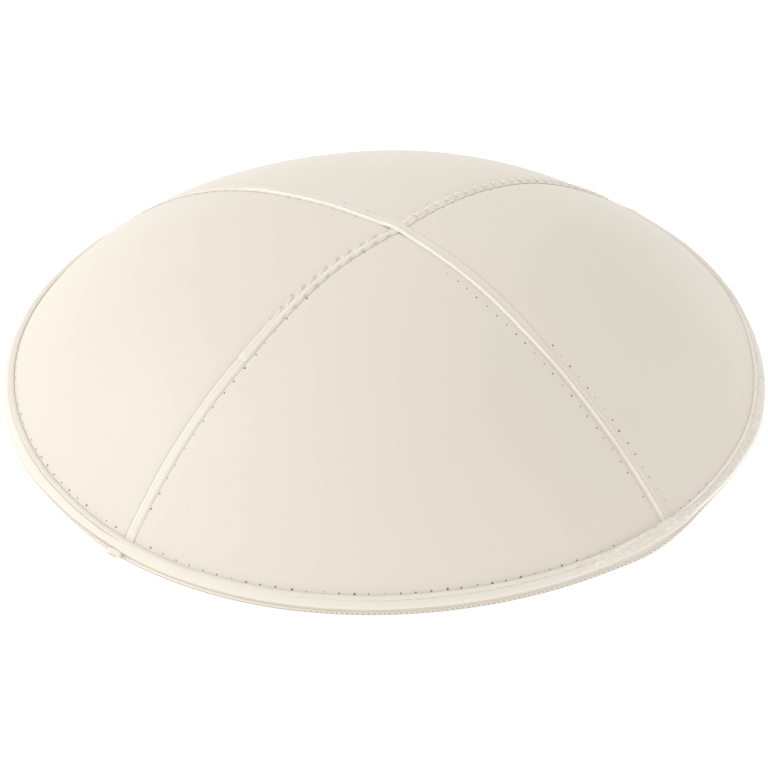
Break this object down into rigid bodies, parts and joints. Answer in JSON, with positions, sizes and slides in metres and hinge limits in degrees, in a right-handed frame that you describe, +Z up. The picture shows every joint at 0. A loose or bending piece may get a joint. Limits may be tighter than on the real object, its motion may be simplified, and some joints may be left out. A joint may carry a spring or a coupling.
{
  "type": "kippah skullcap",
  "caption": "Shallow leather skullcap of triangular panels with taped seams and a folded rim binding, open below for the head.",
  "frame": {"origin": "under the middle of the bounding box, on the surface that the rim rests on", "axes": "+Z up through the crown, +Y towards the back, +X to the wearer's left as the front faces -Y"},
  "size_m": [0.1708, 0.1704, 0.0468],
  "materials": {
    "panel_leather": "smooth matte cream leather",
    "tape_leather": "smooth pale cream leather, stitched",
    "binding_leather": "smooth pale cream leather, folded and stitched"
  },
  "bodies": {
    "root": {"panel_front": "panel_leather", "panel_right": "panel_leather", "panel_back": "panel_leather", "panel_left": "panel_leather", "seam_tape_long": "tape_leather", "seam_tape_front_left": "tape_leather", "seam_tape_back_right": "tape_leather", "rim_binding": "binding_leather"}
  },
  "joints": []
}
